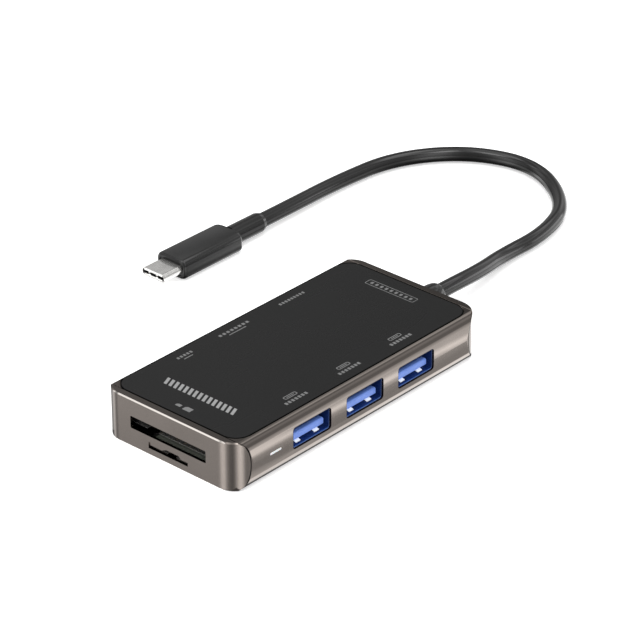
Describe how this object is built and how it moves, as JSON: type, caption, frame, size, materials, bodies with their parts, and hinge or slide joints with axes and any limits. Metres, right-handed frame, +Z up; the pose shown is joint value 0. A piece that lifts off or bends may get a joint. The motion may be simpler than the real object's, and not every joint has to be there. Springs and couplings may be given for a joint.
{
  "type": "usb hub",
  "caption": "Pocket USB hub with a grey anodised aluminium body, black top panel, card slots, blue USB-A ports, hidden power, network and video ports, and a captive USB-C cable.",
  "frame": {"origin": "bottom centre of the aluminium body, on the surface that it rests on", "axes": "+X runs along the body to the cable end, -Y is the side with the USB-A ports, +Z is up"},
  "size_m": [0.1818, 0.0932, 0.0132],
  "materials": {
    "anodised_aluminium": "bead-blasted and anodised grey",
    "satin_panel": "satin black sheet",
    "adhesive": "black adhesive film",
    "light_plastic": "clear white diffuser",
    "nickel_steel": "nickel-plated steel",
    "blue_plastic": "blue moulded plastic",
    "gold_contacts": "gold-plated contacts",
    "black_plastic": "black moulded plastic",
    "circuit_board": "dark grey-green solder mask",
    "chip_epoxy": "black epoxy",
    "can_aluminium": "drawn aluminium can",
    "thermal_silicone": "soft thermal pad",
    "cable_jacket": "smooth dark grey jacket",
    "grip_plastic": "satin moulded grip",
    "wire_insulation": "coloured wire insulation"
  },
  "bodies": {
    "root": {"housing_sleeve": "anodised_aluminium", "front_end_cap": "anodised_aluminium", "rear_end_cap": "anodised_aluminium", "top_panel": "satin_panel", "panel_adhesive": "adhesive", "light_pipe": "light_plastic", "status_led": "light_plastic", "usb_a_shell_1": "nickel_steel", "usb_a_shell_2": "nickel_steel", "usb_a_shell_3": "nickel_steel", "power_port_shell": "nickel_steel", "video_port_shell": "nickel_steel", "lan_port_shield": "nickel_steel", "card_socket_cover": "nickel_steel", "micro_socket_cover": "nickel_steel", "plug_shell": "nickel_steel", "plug_can": "nickel_steel", "board_screws": "nickel_steel", "usb_a_insulator_1": "blue_plastic", "usb_a_insulator_2": "blue_plastic", "usb_a_insulator_3": "blue_plastic", "usb_a_contacts_1": "gold_contacts", "usb_a_contacts_2": "gold_contacts", "usb_a_contacts_3": "gold_contacts", "power_port_contacts": "gold_contacts", "video_port_contacts": "gold_contacts", "lan_port_contacts": "gold_contacts", "card_socket_contacts": "gold_contacts", "micro_socket_contacts": "gold_contacts", "plug_contacts": "gold_contacts", "board_link_pins": "gold_contacts", "power_port_insulator": "black_plastic", "video_port_insulator": "black_plastic", "lan_port_housing": "black_plastic", "card_socket_base": "black_plastic", "micro_socket_base": "black_plastic", "plug_insulator": "black_plastic", "insulating_sheet": "black_plastic", "main_board": "circuit_board", "card_board": "circuit_board", "plug_board": "circuit_board", "hub_controller_chip": "chip_epoxy", "video_converter_chip": "chip_epoxy", "network_chip": "chip_epoxy", "power_control_chip": "chip_epoxy", "card_reader_chip": "chip_epoxy", "network_transformer": "chip_epoxy", "power_inductors": "chip_epoxy", "crystals": "can_aluminium", "capacitors": "can_aluminium", "thermal_pads": "thermal_silicone", "cable_sheath": "cable_jacket", "hub_strain_relief": "cable_jacket", "plug_strain_relief": "cable_jacket", "plug_overmould": "grip_plastic", "hub_wires": "wire_insulation", "plug_wires": "wire_insulation"}
  },
  "joints": []
}
